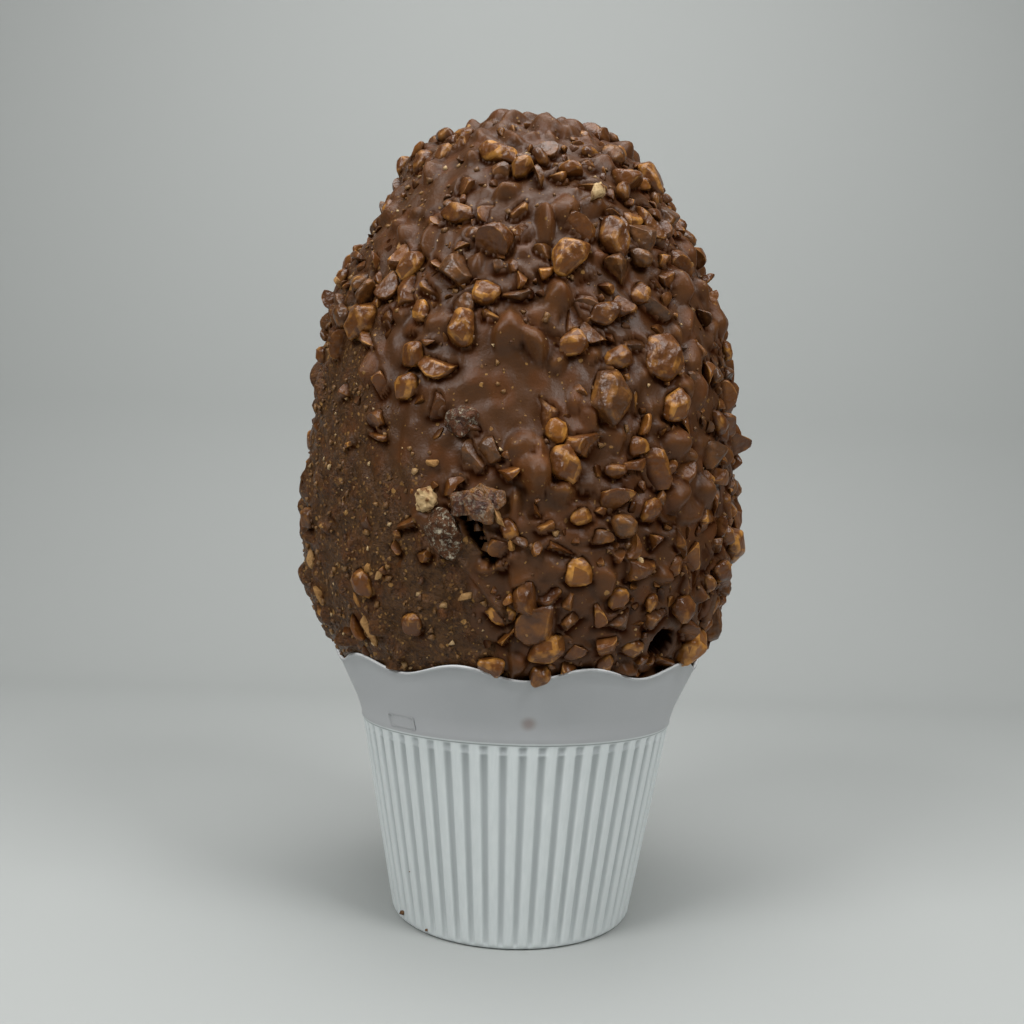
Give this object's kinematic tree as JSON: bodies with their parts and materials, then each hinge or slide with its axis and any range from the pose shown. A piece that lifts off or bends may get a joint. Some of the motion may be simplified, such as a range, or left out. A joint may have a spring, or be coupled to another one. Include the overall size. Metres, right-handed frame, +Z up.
{
  "type": "chocolate egg",
  "caption": "Large hollow milk chocolate egg coated in chopped hazelnuts, standing upright in a fluted cup of milky plastic with a scalloped rim.",
  "frame": {"origin": "middle of the cup's foot, on the surface that it stands on", "axes": "+Z up along the cup's axis, -Y towards the side where the two half shells join"},
  "size_m": [0.176, 0.1778, 0.3024],
  "materials": {
    "chocolate": "satin milk chocolate with fine nut grains",
    "coated_nut": "hazelnut under a thin glossy coat of chocolate",
    "milky_plastic": "milky polypropylene, moulded, slightly see-through"
  },
  "bodies": {
    "root": {"cup": "milky_plastic", "egg": "chocolate", "hazelnut_01": "coated_nut", "hazelnut_02": "coated_nut", "hazelnut_03": "coated_nut", "hazelnut_04": "coated_nut", "hazelnut_05": "coated_nut", "hazelnut_06": "coated_nut", "hazelnut_07": "coated_nut", "hazelnut_08": "coated_nut", "hazelnut_09": "coated_nut", "hazelnut_10": "coated_nut", "hazelnut_11": "coated_nut", "hazelnut_12": "coated_nut", "hazelnut_13": "coated_nut", "hazelnut_14": "coated_nut"}
  },
  "joints": []
}
